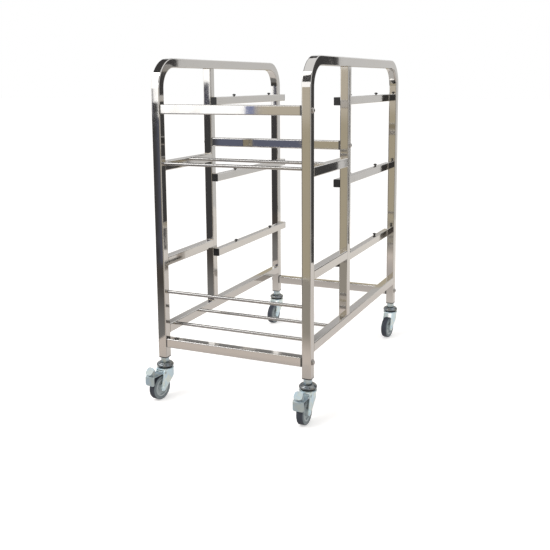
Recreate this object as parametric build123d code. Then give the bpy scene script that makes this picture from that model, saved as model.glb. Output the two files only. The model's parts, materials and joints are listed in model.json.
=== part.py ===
"""Bussing trolley: an open frame of square tube on four swivel castors."""

from build123d import *
import math
import os

# Sizes are in millimetres. X runs across the trolley, Y from front to back, Z up from the floor.

# The frame as a whole
overall_width = 505.0
overall_depth = 890.0
overall_height = 1040.0
bend_radius = 76.0

# Square tube of the frame
tube = 28.0
tube_wall = 1.2
tube_corner = 3.0

# Middle posts, from the front face of the frame to their centre line
middle_post_back = 331.0

# Heights above the feet of the posts
cross_bar_rise = 46.0
bottom_rail_rise = 86.0
guard_rod_rise = 206.0
lower_rail_rise = 298.0
shelf_rail_rise = 590.0

# Drops from the top of the frame
front_bar_drop = 150.0
stop_bar_drop = 268.0
top_runner_drop = 133.0
runner_pitch = 254.0

# Round rods of the two open shelves and of the front guard
rod_diameter = 10.0
shelf_back_rod_back = 172.0
floor_front_rod_back = 57.0
floor_back_rod_back = 212.0

# Runners that carry the bins
runner_width = 20.0
runner_height = 25.0
runner_wall = 1.2
runner_corner = 2.0
runner_cap_collar = 3.0
runner_cap_depth = 12.0
stud_spacing = 290.0
stud_inset = 5.0
stud_head_diameter = 12.5
stud_head_height = 5.5
stud_head_edge = 1.5
stud_head_dome = 3.0
stud_neck_diameter = 6.0
stud_neck_height = 3.0
stud_shank_diameter = 4.0
stud_shank_depth = 6.0

# Plugs in the ends of the cross bars, and the bolts into them
plug_collar = 4.0
plug_depth = 20.0
plug_clearance = 0.1
bolt_diameter = 8.0
bolt_hole_clearance = 0.2
bolt_head_diameter = 14.0
bolt_head_height = 5.0
bolt_head_edge = 1.2
bolt_socket_flats = 5.0
bolt_socket_depth = 2.5
bolt_tip = 3.0
washer_diameter = 17.0
washer_thickness = 1.6
plug_nut_flats = 13.0
plug_nut_thickness = 6.5
plug_nut_clearance = 0.1

# Inserts in the feet of the posts
insert_collar = 3.0
insert_depth = 38.0

# Castors: wheel
wheel_diameter = 75.0
tyre_width = 22.0
tyre_shoulder = 4.0
tyre_thickness = 10.5
rim_width = 20.0
rim_thickness = 4.5
web_thickness = 9.0
hub_diameter = 22.0
hub_gap = 0.6
bush_diameter = 12.0
axle_diameter = 8.0
axle_nut_flats = 13.0
axle_head_diameter = 15.0
axle_head_thickness = 3.2
axle_head_edge = 1.2
axle_nut_thickness = 6.5
axle_tip = 2.0
running_gap = 0.05

# Castors: fork
castor_trail = 28.0
fork_plate = 2.5
fork_inside = 29.6
crown_plate = 3.0
crown_gap = 16.0
crown_diameter = 52.0
crown_nose = 23.5
leg_back = 19.0
leg_straight = 29.0
axle_boss_diameter = 21.0

# Castors: swivel bearing, stem and nut
race_gap = 6.0
ball_diameter = 5.0
ball_count = 14
ball_circle = 32.0
ball_gap = 0.08
lower_race_diameter = 42.0
lower_race_height = 2.6
head_diameter = 52.0
head_height = 12.0
head_rim = 5.0
head_top_diameter = 30.0
head_lip_diameter = 42.0
head_lip = 1.4
stem_diameter = 12.0
stem_rivet_diameter = 22.0
stem_rivet_height = 5.0
stem_rivet_chamfer = 1.6
stem_rivet_gap = 0.3
stem_above_foot = 34.0
stem_nut_flats = 22.0
stem_nut_height = 15.0

# Brake levers of the front castors
lever_plate = 2.5
lever_side_gap = 0.5
lever_pin_back = 20.0
lever_pin_drop = 8.0
lever_pin_diameter = 5.0
lever_pin_head = 8.0
lever_pin_head_height = 1.5
lever_boss_diameter = 9.0
lever_lock_angle = 6.0
pedal_width = 34.0
pedal_reach = 72.0
pedal_start = 37.0
pedal_height = 29.0
pedal_bend = 5.0
pedal_corner = 6.0
release_width = 26.0
release_length = 26.0
release_corner = 9.0
release_tilt = 45.0
release_reach = 70.0
release_rise = 16.0
cheek_behind = 9.0
cheek_ahead = 4.5
shoe_width = 18.0
shoe_front = 41.0
shoe_length = 12.0
shoe_gap = 0.5

# How far each castor is turned from straight ahead, in degrees
castor_turns = {"front_left": 9.5, "front_right": 0.5, "back_left": 3.5, "back_right": 6.5}
braked_castors = ("front_left", "front_right")

# Heights of the castor, stacked from the floor up to the feet of the posts
axle_z = wheel_diameter / 2
crown_under = wheel_diameter + crown_gap
crown_top = crown_under + crown_plate
head_under = crown_top + race_gap
head_top = head_under + head_height
nut_top = head_top + stem_nut_height
foot_z = nut_top + insert_collar
ball_z = (crown_top + lower_race_height + head_under - head_lip) / 2

# Centre lines and faces of the frame
post_x = overall_width / 2 - tube / 2
inner_x = overall_width / 2 - tube
front_y = tube / 2
middle_y = middle_post_back
back_y = overall_depth - tube / 2
top_rail_z = overall_height - tube / 2
bottom_rail_z = foot_z + bottom_rail_rise
lower_rail_z = foot_z + lower_rail_rise
shelf_rail_z = foot_z + shelf_rail_rise
bar_end_x = inner_x - plug_collar
cross_bars = {
    "upper_front_bar": (front_y, overall_height - front_bar_drop),
    "middle_stop_bar": (middle_y, overall_height - stop_bar_drop),
    "lower_front_bar": (front_y, foot_z + cross_bar_rise),
    "lower_back_bar": (back_y, foot_z + cross_bar_rise),
}
runner_levels = {
    "top": overall_height - top_runner_drop,
    "middle": overall_height - top_runner_drop - runner_pitch,
    "bottom": overall_height - top_runner_drop - 2 * runner_pitch,
}
runner_x = inner_x - runner_width / 2
runner_front_y = middle_y - tube / 2
sides = {"left": -1, "right": 1}
castor_corners = {
    "front_left": (-post_x, front_y),
    "front_right": (post_x, front_y),
    "back_left": (-post_x, back_y),
    "back_right": (post_x, back_y),
}


def ring_section(width, height, wall, corner):
    """Cross section of a rectangular tube with rounded corners."""
    outside = RectangleRounded(width, height, corner)
    inside = RectangleRounded(width - 2 * wall, height - 2 * wall, corner - wall)
    return outside - inside


def run(section, start, end):
    """A straight piece of the given section from one point to another."""
    direction = Vector(*end) - Vector(*start)
    across = (1, 0, 0) if abs(direction.X) < abs(direction.Y) + abs(direction.Z) else (0, 1, 0)
    plane = Plane(origin=start, x_dir=across, z_dir=direction)
    return extrude(plane * section, amount=direction.length)


def turned(outline):
    """A solid of revolution about Z, from an outline of (radius, height)."""
    return revolve(Plane.XZ * make_face(outline), axis=Axis.Z)


def side_profile(outline, width, offset=0.0):
    """An outline of (y, z) made as wide as given, centred on x = offset."""
    start = Plane(origin=(offset - width / 2, 0, 0), x_dir=(0, 1, 0), z_dir=(1, 0, 0))
    return extrude(start * outline, amount=width)


def hexagon(flats):
    """A hexagon by its size across the flats."""
    return RegularPolygon(radius=flats / 2, side_count=6, major_radius=False)


frame_section = ring_section(tube, tube, tube_wall, tube_corner)
tube_outline = RectangleRounded(tube, tube, tube_corner)
tube_bore = tube - 2 * tube_wall - 2 * plug_clearance
tube_bore_outline = RectangleRounded(tube_bore, tube_bore, tube_corner - tube_wall)


def bolt_holes(body, x, places):
    """Drill the frame bolts' holes through both walls of a post."""
    drill = Circle(bolt_diameter / 2 + bolt_hole_clearance)
    for y, z in places:
        body -= run(drill, (x - tube, y, z), (x + tube, y, z))
    return body


def side_frame(x):
    """Front post, top rail and back post, bent from one tube."""
    path = FilletPolyline(
        (x, front_y, foot_z),
        (x, front_y, top_rail_z),
        (x, back_y, top_rail_z),
        (x, back_y, foot_z),
        radius=bend_radius,
    )
    start = Plane(origin=(x, front_y, foot_z), x_dir=(1, 0, 0), z_dir=(0, 0, 1))
    places = [cross_bars[name] for name in ("upper_front_bar", "lower_front_bar", "lower_back_bar")]
    return bolt_holes(sweep(start * frame_section, path=path), x, places)


def middle_post(x):
    """Post from the bottom side rail up to the underside of the top rail."""
    low = bottom_rail_z + tube / 2
    high = overall_height - tube
    post = run(frame_section, (x, middle_y, low), (x, middle_y, high))
    return bolt_holes(post, x, [cross_bars["middle_stop_bar"]])


def side_rail(x, z, back):
    """Rail from the back of the front post to the given depth."""
    return run(frame_section, (x, tube, z), (x, back, z))


def rod(y, z):
    """Round rod between the inner faces of the two sides."""
    return run(Circle(rod_diameter / 2), (-inner_x, y, z), (inner_x, y, z))


def end_plug(side, y, z):
    """Plug in one end of a cross bar, with its collar against the post."""
    plug_end = bar_end_x - plug_depth
    plug = run(tube_outline, (side * bar_end_x, y, z), (side * inner_x, y, z))
    plug += run(tube_bore_outline, (side * plug_end, y, z), (side * bar_end_x, y, z))
    plug -= run(Circle(bolt_diameter / 2), (side * plug_end, y, z), (side * inner_x, y, z))
    pocket = hexagon(plug_nut_flats + 2 * plug_nut_clearance)
    return plug - run(pocket, (side * plug_end, y, z), (side * (plug_end + plug_nut_thickness), y, z))


def plug_nut(side, y, z):
    """Captive nut in the inner end of a plug."""
    near = bar_end_x - plug_depth
    outline = hexagon(plug_nut_flats) - Circle(bolt_diameter / 2)
    return run(outline, (side * near, y, z), (side * (near + plug_nut_thickness), y, z))


def frame_bolt(side, y, z):
    """Domed bolt from the outer face of a post into the plug of a bar."""
    radius = bolt_head_diameter / 2
    dome = Line((0, 0), (radius, 0)) + Line((radius, 0), (radius, bolt_head_edge))
    dome += TangentArc((0, bolt_head_height), (radius, bolt_head_edge), tangent=(1, 0))
    dome += Line((0, bolt_head_height), (0, 0))
    bolt = turned(dome)
    socket = extrude(hexagon(bolt_socket_flats), bolt_head_height)
    bolt -= Pos(0, 0, bolt_head_height - bolt_socket_depth) * socket
    seat = overall_width / 2 + washer_thickness
    shank = seat - (bar_end_x - plug_depth) + bolt_tip
    bolt += Pos(0, 0, -shank) * extrude(Circle(bolt_diameter / 2), shank)
    return Plane(origin=(side * seat, y, z), x_dir=(0, 1, 0), z_dir=(side, 0, 0)) * bolt


def frame_washer(side, y, z):
    """Washer under the head of a frame bolt."""
    outline = Circle(washer_diameter / 2) - Circle(bolt_diameter / 2 + bolt_hole_clearance)
    seat = overall_width / 2
    return run(outline, (side * seat, y, z), (side * (seat + washer_thickness), y, z))


def stud_places(side, level):
    """Centres of the two stop studs on the top face of a runner."""
    x = side * (inner_x - runner_width + stud_inset)
    middle = (runner_front_y + overall_depth) / 2
    z = runner_levels[level] + runner_height / 2
    return [(x, middle + step * stud_spacing / 2, z) for step in (-1, 1)]


def runner(side, level):
    """Rectangular tube on the inner faces of the middle and back posts."""
    x = side * runner_x
    z = runner_levels[level]
    section = ring_section(runner_width, runner_height, runner_wall, runner_corner)
    start = runner_front_y + runner_cap_collar
    body = run(section, (x, start, z), (x, overall_depth - runner_cap_collar, z))
    for place in stud_places(side, level):
        body -= Pos(*place) * Cylinder(stud_shank_diameter / 2, 2 * runner_wall + runner_corner)
    return body


def runner_caps(side, level):
    """Plugs in both ends of a runner."""
    x = side * runner_x
    z = runner_levels[level]
    collar = RectangleRounded(runner_width, runner_height, runner_corner)
    bore = 2 * runner_wall + 2 * plug_clearance
    core = RectangleRounded(runner_width - bore, runner_height - bore, runner_corner - runner_wall)
    caps = []
    for end_y, inward in ((runner_front_y, 1), (overall_depth, -1)):
        seat_y = end_y + inward * runner_cap_collar
        cap = run(collar, (x, end_y, z), (x, seat_y, z))
        cap += run(core, (x, seat_y, z), (x, seat_y + inward * runner_cap_depth, z))
        caps.append(cap)
    return caps


def stop_stud():
    """Push in stud with a round head, standing on z = 0."""
    neck = stud_neck_diameter / 2
    head = stud_head_diameter / 2
    outline = FilletPolyline(
        (0, 0),
        (neck, 0),
        (neck, stud_neck_height),
        (head, stud_neck_height),
        (head, stud_neck_height + stud_head_height),
        (0, stud_neck_height + stud_head_height),
        radius=(0, 0, stud_head_edge, stud_head_dome),
    )
    stud = turned(outline + Line((0, stud_neck_height + stud_head_height), (0, 0)))
    shank = extrude(Circle(stud_shank_diameter / 2), stud_shank_depth)
    return stud + Pos(0, 0, -stud_shank_depth) * shank


def foot_insert():
    """Plug in the foot of a post that takes the castor's stem."""
    insert = Pos(0, 0, nut_top) * extrude(tube_outline, insert_collar)
    insert += Pos(0, 0, foot_z) * extrude(tube_bore_outline, insert_depth)
    return insert - Pos(0, 0, nut_top) * extrude(Circle(stem_diameter / 2), insert_collar + stem_above_foot)


def stem():
    """Castor stem with the riveted head under the fork's crown."""
    head_top_z = crown_under - stem_rivet_gap
    low = head_top_z - stem_rivet_height
    body = Pos(0, 0, low) * extrude(Circle(stem_rivet_diameter / 2), stem_rivet_height)
    body = chamfer(body.edges().filter_by(GeomType.CIRCLE).group_by(Axis.Z)[0], stem_rivet_chamfer)
    return body + Pos(0, 0, low) * extrude(Circle(stem_diameter / 2), foot_z + stem_above_foot - low)


def stem_nut():
    """Nut that locks the stem against the foot of the post."""
    outline = hexagon(stem_nut_flats) - Circle(stem_diameter / 2)
    return Pos(0, 0, head_top) * extrude(outline, stem_nut_height)


def ball_groove():
    """Groove that both races leave round the ring of balls."""
    return Pos(0, 0, ball_z) * Torus(ball_circle / 2, ball_diameter / 2 + ball_gap)


def head_race():
    """Upper race: the round head that the fork turns under."""
    bore = stem_diameter / 2
    outside = head_diameter / 2
    lip = head_lip_diameter / 2
    outline = Polyline(
        (bore, head_top),
        (bore, head_under - head_lip),
        (lip, head_under - head_lip),
        (lip, head_under),
        (outside, head_under),
        (outside, head_under + head_rim),
    )
    top_edge = (head_top_diameter / 2, head_top)
    outline += Line((bore, head_top), top_edge)
    outline += TangentArc(top_edge, (outside, head_under + head_rim), tangent=(1, 0))
    return turned(outline) - ball_groove()


def swivel_balls():
    """Ring of balls between the two races."""
    places = PolarLocations(ball_circle / 2, ball_count)
    return [Pos(0, 0, ball_z) * place * Sphere(ball_diameter / 2) for place in places]


def fork(braked):
    """Pressed fork: crown with the lower race, and a leg each side of the wheel."""
    outside = fork_inside + 2 * fork_plate
    crown = Circle(crown_diameter / 2) + Pos(0, -crown_nose / 2) * Rectangle(outside, crown_nose)
    body = Pos(0, 0, crown_under) * extrude(crown, crown_plate)
    race = Circle(lower_race_diameter / 2)
    body += Pos(0, 0, crown_top) * extrude(race, lower_race_height)
    boss = Pos(-castor_trail, axle_z) * Circle(axle_boss_diameter / 2)
    top = Polyline(
        (-crown_nose, crown_top),
        (leg_back, crown_top),
        (leg_back, crown_top - leg_straight),
        (-crown_nose, crown_top),
    )
    leg = make_hull(boss.edges() + top.edges())
    leg -= Pos(-castor_trail, axle_z) * Circle(axle_diameter / 2)
    if braked:
        leg -= Pos(-lever_pin_back, crown_under - lever_pin_drop) * Circle(lever_pin_diameter / 2)
    for side in (-1, 1):
        body += side_profile(leg, fork_plate, side * (fork_inside + fork_plate) / 2)
    bore = Circle(stem_diameter / 2 + running_gap)
    body -= Pos(0, 0, crown_under) * extrude(bore, crown_plate + lower_race_height)
    return body - ball_groove()


def axle_bolt():
    """Axle bolt through the legs, with a low round head on the right and its nut on the left."""
    outside = fork_inside / 2 + fork_plate
    head = Circle(axle_head_diameter / 2)
    bolt = run(head, (outside, 0, 0), (outside + axle_head_thickness, 0, 0))
    bolt = fillet(bolt.edges().filter_by(GeomType.CIRCLE).group_by(Axis.X)[-1], axle_head_edge)
    tip = outside + axle_nut_thickness + axle_tip
    bolt += run(Circle(axle_diameter / 2), (-tip, 0, 0), (outside, 0, 0))
    nut_outline = hexagon(axle_nut_flats) - Circle(axle_diameter / 2)
    nut = run(nut_outline, (-outside - axle_nut_thickness, 0, 0), (-outside, 0, 0))
    return [Pos(0, -castor_trail, axle_z) * piece for piece in (bolt, nut)]


def axle_bush():
    """Bush between the legs that the wheel runs on."""
    outline = Circle(bush_diameter / 2) - Circle(axle_diameter / 2)
    return Pos(0, -castor_trail, axle_z) * run(outline, (-fork_inside / 2, 0, 0), (fork_inside / 2, 0, 0))


def on_axle(body):
    """Lay a piece that was turned about Z on the axle."""
    return Pos(0, -castor_trail, axle_z) * Rot(0, 90, 0) * body


def wheel_centre():
    """Hub, web and rim of the wheel."""
    bore = bush_diameter / 2 + running_gap
    hub = hub_diameter / 2
    rim_out = wheel_diameter / 2 - tyre_thickness
    rim_in = rim_out - rim_thickness
    half_hub = fork_inside / 2 - hub_gap
    half_web = web_thickness / 2
    half_rim = rim_width / 2
    steps = [
        (bore, half_hub),
        (hub, half_hub),
        (hub, half_web),
        (rim_in, half_web),
        (rim_in, half_rim),
        (rim_out, half_rim),
    ]
    lower = [(radius, -height) for radius, height in reversed(steps)]
    return on_axle(turned(Polyline(*steps, *lower, close=True)))


def tyre():
    """Tyre with rounded shoulders."""
    inside = wheel_diameter / 2 - tyre_thickness
    outside = wheel_diameter / 2
    half = tyre_width / 2
    corners = [(inside, -half), (outside, -half), (outside, half), (inside, half)]
    outline = FilletPolyline(*corners, radius=tyre_shoulder)
    return on_axle(turned(outline + Line((inside, half), (inside, -half))))


def bent_plate(points, radius, width):
    """Plate of the lever's thickness, bent along points of (y, z)."""
    path = FilletPolyline(*[(0, y, z) for y, z in points], radius=radius)
    start = Plane(origin=path @ 0, x_dir=(1, 0, 0), z_dir=path % 0)
    return sweep(start * Rectangle(width, lever_plate), path=path)


def brake_lever():
    """Rocker with a brake tab in front of the wheel and a release tab above it."""
    pin_z = crown_under - lever_pin_drop
    pin_y = -lever_pin_back
    width = fork_inside - 2 * lever_side_gap
    foot = pin_z - pedal_height
    bends = [(-pedal_start, pin_z), (-pedal_reach, pin_z), (-pedal_reach, foot)]
    body = bent_plate(bends, pedal_bend, pedal_width)
    body = fillet(body.edges().filter_by(Axis.Y).group_by(Axis.Z)[0], pedal_corner)
    body += run(Rectangle(width, lever_plate), (0, pin_y, pin_z), (0, -pedal_start - lever_plate, pin_z))
    boss = run(Circle(lever_boss_diameter / 2), (-width / 2, pin_y, pin_z), (width / 2, pin_y, pin_z))
    tab_z = pin_z + release_rise
    slope = math.radians(release_tilt)
    tab_plane = Plane(
        origin=(0, -release_reach, tab_z),
        x_dir=(1, 0, 0),
        z_dir=(0, -math.sin(slope), math.cos(slope)),
    )
    tab = extrude(tab_plane * RectangleRounded(release_width, release_length, release_corner), lever_plate)
    rear = (-release_reach + cheek_behind * math.cos(slope), tab_z + cheek_behind * math.sin(slope))
    front = (-release_reach - cheek_ahead * math.cos(slope), tab_z - cheek_ahead * math.sin(slope))
    cheek = make_face(
        Polyline(
            (pin_y, pin_z),
            (pin_y, pin_z + lever_plate),
            (rear[0] + lever_plate, pin_z + lever_plate),
            rear,
            front,
            (-pedal_reach + pedal_bend, pin_z),
            close=True,
        )
    )
    for side in (-1, 1):
        body += side_profile(cheek, lever_plate, side * (release_width - lever_plate) / 2)
    drop = (shoe_front - lever_pin_back) * math.sin(math.radians(lever_lock_angle))
    shoe_under = wheel_diameter + shoe_gap + drop
    shoe_middle = Pos(-shoe_front + shoe_length / 2, (shoe_under + pin_z) / 2)
    body += side_profile(shoe_middle * Rectangle(shoe_length, pin_z - shoe_under), shoe_width)
    body += tab
    body += boss
    bore = Circle(lever_pin_diameter / 2 + running_gap)
    return body - run(bore, (-width, pin_y, pin_z), (width, pin_y, pin_z))


def lever_pin():
    """Riveted pin of the brake lever, across the legs."""
    outside = fork_inside / 2 + fork_plate
    pin = run(Circle(lever_pin_diameter / 2), (-outside, 0, 0), (outside, 0, 0))
    head = Circle(lever_pin_head / 2)
    for side in (-1, 1):
        pin += run(head, (side * outside, 0, 0), (side * (outside + lever_pin_head_height), 0, 0))
    return Pos(0, -lever_pin_back, crown_under - lever_pin_drop) * pin


def at_corner(body, corner):
    """Move a castor's piece under its post and turn it to how the castor stands."""
    x, y = castor_corners[corner]
    return Pos(x, y, 0) * Rot(0, 0, -castor_turns[corner]) * body


pieces = {}
for side_name, side in sides.items():
    x = side * post_x
    pieces[side_name + "_side_frame"] = [side_frame(x)]
    pieces[side_name + "_middle_post"] = [middle_post(x)]
    pieces[side_name + "_bottom_rail"] = [side_rail(x, bottom_rail_z, overall_depth - tube)]
    pieces[side_name + "_lower_rail"] = [side_rail(x, lower_rail_z, middle_y - tube / 2)]
    pieces[side_name + "_shelf_rail"] = [side_rail(x, shelf_rail_z, middle_y - tube / 2)]
    for level in runner_levels:
        pieces[side_name + "_" + level + "_runner"] = [runner(side, level)]

for name, (y, z) in cross_bars.items():
    pieces[name] = [run(frame_section, (-bar_end_x, y, z), (bar_end_x, y, z))]

rod_radius = rod_diameter / 2
pieces["front_guard_rod"] = [rod(front_y, foot_z + guard_rod_rise)]
pieces["shelf_front_rod"] = [rod(front_y, shelf_rail_z + tube / 2 - rod_radius)]
pieces["shelf_back_rod"] = [rod(shelf_back_rod_back, shelf_rail_z + tube / 2 - rod_radius)]
pieces["floor_front_rod"] = [rod(floor_front_rod_back, bottom_rail_z + tube / 2 - rod_radius)]
pieces["floor_back_rod"] = [rod(floor_back_rod_back, bottom_rail_z + tube / 2 - rod_radius)]

runner_ends = [(side, level) for side in sides.values() for level in runner_levels]
pieces["runner_end_caps"] = [cap for end in runner_ends for cap in runner_caps(*end)]
pieces["stop_studs"] = [Pos(*place) * stop_stud() for end in runner_ends for place in stud_places(*end)]

bar_ends = [(side, y, z) for side in sides.values() for y, z in cross_bars.values()]
pieces["bar_end_plugs"] = [end_plug(*end) for end in bar_ends]
pieces["bar_plug_nuts"] = [plug_nut(*end) for end in bar_ends]
pieces["frame_bolts"] = [frame_bolt(*end) for end in bar_ends]
pieces["frame_washers"] = [frame_washer(*end) for end in bar_ends]

pieces["foot_inserts"] = [Pos(*castor_corners[corner], 0) * foot_insert() for corner in castor_corners]
pieces["castor_stems"] = [at_corner(stem(), corner) for corner in castor_corners]
pieces["castor_stem_nuts"] = [at_corner(stem_nut(), corner) for corner in castor_corners]
pieces["castor_head_races"] = [at_corner(head_race(), corner) for corner in castor_corners]
pieces["castor_balls"] = [at_corner(ball, corner) for corner in castor_corners for ball in swivel_balls()]
for corner in castor_corners:
    braked = corner in braked_castors
    pieces["castor_fork_" + corner] = [at_corner(fork(braked), corner)]
    pieces["castor_axle_" + corner] = [at_corner(piece, corner) for piece in axle_bolt()]
    pieces["castor_bush_" + corner] = [at_corner(axle_bush(), corner)]
    pieces["castor_wheel_" + corner] = [at_corner(wheel_centre(), corner)]
    pieces["castor_tyre_" + corner] = [at_corner(tyre(), corner)]
    if braked:
        pieces["brake_lever_" + corner] = [at_corner(brake_lever(), corner)]
        pieces["brake_pin_" + corner] = [at_corner(lever_pin(), corner)]

# The origin is on the floor, under the middle of the whole trolley.
whole = Compound([solid for group in pieces.values() for part in group for solid in part.solids()])
extent = whole.bounding_box()
to_origin = Pos(-extent.center().X, -extent.center().Y, 0)

os.makedirs("parts", exist_ok=True)
for name, group in pieces.items():
    solids = [to_origin * solid for part in group for solid in part.solids()]
    export_step(solids[0] if len(solids) == 1 else Compound(solids), "parts/" + name + ".step")
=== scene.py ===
"""Bussing trolley: an open frame of polished square tube on four swivel castors."""

import json
import math

import bmesh
import bpy
from bpy.props import FloatProperty, FloatVectorProperty, IntProperty, PointerProperty
from mathutils import Matrix, Vector

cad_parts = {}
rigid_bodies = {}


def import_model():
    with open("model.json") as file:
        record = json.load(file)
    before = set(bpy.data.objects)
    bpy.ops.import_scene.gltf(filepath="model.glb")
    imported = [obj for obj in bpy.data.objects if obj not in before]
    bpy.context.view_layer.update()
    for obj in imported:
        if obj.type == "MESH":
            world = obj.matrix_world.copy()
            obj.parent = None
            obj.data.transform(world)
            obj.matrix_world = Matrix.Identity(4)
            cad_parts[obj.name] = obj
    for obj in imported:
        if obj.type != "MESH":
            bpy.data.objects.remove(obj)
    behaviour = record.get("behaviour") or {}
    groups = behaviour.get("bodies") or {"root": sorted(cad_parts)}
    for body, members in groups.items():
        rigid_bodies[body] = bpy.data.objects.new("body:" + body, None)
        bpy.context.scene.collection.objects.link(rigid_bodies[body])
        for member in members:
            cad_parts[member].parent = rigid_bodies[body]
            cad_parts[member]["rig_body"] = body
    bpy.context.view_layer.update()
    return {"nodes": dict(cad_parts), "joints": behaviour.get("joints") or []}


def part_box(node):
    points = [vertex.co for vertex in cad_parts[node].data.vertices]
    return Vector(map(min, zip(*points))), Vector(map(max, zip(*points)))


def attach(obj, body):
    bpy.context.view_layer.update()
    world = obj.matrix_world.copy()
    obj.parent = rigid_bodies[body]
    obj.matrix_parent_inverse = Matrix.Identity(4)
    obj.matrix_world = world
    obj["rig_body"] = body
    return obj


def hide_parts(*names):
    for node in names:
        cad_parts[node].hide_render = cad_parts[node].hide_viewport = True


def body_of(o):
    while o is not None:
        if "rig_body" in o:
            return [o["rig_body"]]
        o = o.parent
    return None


bl_info = {
    "name": "Bussing trolley",
    "version": (1, 1, 0),
    "blender": (4, 5, 0),
    "location": "View3D > Sidebar > Trolley",
    "description": "Dresses the trolley's frame, runners and castors, and sets the studio around it",
    "category": "Object",
}

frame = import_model()
NODES = frame["nodes"]
JOINTS = {joint["name"]: joint for joint in frame["joints"]}
CORNERS = ("front_left", "front_right", "back_left", "back_right")
BRAKED = ("front_left", "front_right")
SIDES = ("left", "right")
LEVELS = ("top", "middle", "bottom")
RAILS = ("bottom", "lower", "shelf")
BARS = ("upper_front_bar", "middle_stop_bar", "lower_front_bar", "lower_back_bar")
RODS = ("front_guard_rod", "shelf_front_rod", "shelf_back_rod", "floor_front_rod", "floor_back_rod")


# Node trees

class Term:
    """A socket that can be written in sums, which add their Math nodes to its tree."""

    def __init__(self, graph, socket):
        self.graph = graph
        self.socket = socket

    def maths(self, operation, *terms):
        return self.graph.add("ShaderNodeMath", {"operation": operation}, dict(enumerate(terms)))

    def __add__(self, other):
        return self.maths("ADD", self, other)

    def __radd__(self, other):
        return self.maths("ADD", other, self)

    def __sub__(self, other):
        return self.maths("SUBTRACT", self, other)

    def __rsub__(self, other):
        return self.maths("SUBTRACT", other, self)

    def __mul__(self, other):
        return self.maths("MULTIPLY", self, other)

    def __rmul__(self, other):
        return self.maths("MULTIPLY", other, self)

    def clamped(self):
        """The same value held between 0 and 1."""
        return self.graph.add("ShaderNodeClamp", {}, {"Value": self})

    def ramp(self, low, high):
        """0 below low, 1 above high, and a smooth step between them."""
        return self.graph.add("ShaderNodeMapRange", {"interpolation_type": "SMOOTHSTEP"},
                              {"Value": self, "From Min": low, "From Max": high})


class Graph:
    """A node tree that is built one call at a time."""

    def __init__(self, tree):
        self.tree = tree
        tree.nodes.clear()

    def add(self, kind, settings, inputs, output=0):
        """Add a node: its settings first, then the values or links of its sockets."""
        node = self.tree.nodes.new(kind)
        for name, value in settings.items():
            setattr(node, name, value)
        for name, value in inputs.items():
            if isinstance(value, Term):
                self.tree.links.new(value.socket, node.inputs[name])
            else:
                node.inputs[name].default_value = value
        return Term(self, node.outputs[output]) if node.outputs else None


class Finish(Graph):
    """A material, or the world."""

    def __init__(self, name, world=False):
        self.owner = (bpy.data.worlds if world else bpy.data.materials).new(name)
        self.owner.use_nodes = True
        super().__init__(self.owner.node_tree)

    def place(self, scale=(1, 1, 1), offset=(0, 0, 0)):
        """A place on the object in its own metres, moved and stretched."""
        here = self.add("ShaderNodeTexCoord", {}, {}, "Object")
        return self.add("ShaderNodeMapping", {}, {"Vector": here, "Location": offset, "Scale": scale})

    def along(self, axis):
        """How far along an axis a place on the object is, in metres."""
        return self.add("ShaderNodeSeparateXYZ", {}, {"Vector": self.place()}, axis)

    def noise(self, place, scale, detail=3.0, roughness=0.5):
        """Soft noise from 0 to 1."""
        inputs = {"Vector": place, "Scale": scale, "Detail": detail, "Roughness": roughness}
        return self.add("ShaderNodeTexNoise", {}, inputs, "Fac")

    def cells(self, place, scale, feature="F1", output="Distance"):
        """Cell pattern: the distance to its points or edges, or a colour for each cell."""
        inputs = {"Vector": place, "Scale": scale}
        return self.add("ShaderNodeTexVoronoi", {"feature": feature}, inputs, output)

    def attribute(self, name):
        """A number that is stored on the mesh."""
        return self.add("ShaderNodeAttribute", {"attribute_name": name}, {}, "Fac")

    def mixed(self, factor, first, second):
        """A colour between two colours."""
        return self.add("ShaderNodeMix", {"data_type": "RGBA"}, {0: factor, 6: first, 7: second}, 2)

    def bump(self, height, distance, strength=1.0):
        """A normal from a height in metres."""
        inputs = {"Height": height, "Distance": distance, "Strength": strength}
        return self.add("ShaderNodeBump", {}, inputs)

    def surface(self, **inputs):
        """The shader and the output; underscores in the names stand for spaces."""
        named = {name.replace("_", " "): value for name, value in inputs.items()}
        self.end(self.add("ShaderNodeBsdfPrincipled", {}, named))
        return self.owner

    def end(self, shader):
        self.add("ShaderNodeOutputMaterial", {}, {"Surface": shader})


class Pattern(Graph):
    """A geometry nodes tree with named inputs, the first of which is the mesh that it starts from."""

    def __init__(self, name, **kinds):
        group = bpy.data.node_groups.new(name, "GeometryNodeTree")
        group.interface.new_socket("Geometry", in_out="OUTPUT", socket_type="NodeSocketGeometry")
        self.sockets = {}
        for label, kind in {"Start": "Geometry", **kinds, "Finish": "Material"}.items():
            socket = group.interface.new_socket(label, in_out="INPUT", socket_type="NodeSocket" + kind)
            self.sockets[label] = socket.identifier
        super().__init__(group)

    def given(self, label):
        """One of the tree's inputs."""
        return self.add("NodeGroupInput", {}, {}, label)

    def end(self, shape):
        """Turn the shape into plain faces in the given finish."""
        whole = self.add("GeometryNodeRealizeInstances", {}, {"Geometry": shape})
        inputs = {"Geometry": whole, "Material": self.given("Finish")}
        dressed = self.add("GeometryNodeSetMaterial", {}, inputs)
        self.add("NodeGroupOutput", {}, {"Geometry": dressed})

    def grown(self, name, start, **values):
        """The plain mesh that the tree makes from a starting mesh."""
        holder = bpy.data.objects.new(name, start)
        bpy.context.scene.collection.objects.link(holder)
        modifier = holder.modifiers.new(name, "NODES")
        modifier.node_group = self.tree
        for label, value in values.items():
            modifier[self.sockets[label]] = value
        evaluated = holder.evaluated_get(bpy.context.evaluated_depsgraph_get())
        mesh = bpy.data.meshes.new_from_object(evaluated)
        holder.modifiers.remove(modifier)
        bpy.data.objects.remove(holder)
        mesh.name = name
        return mesh


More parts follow.
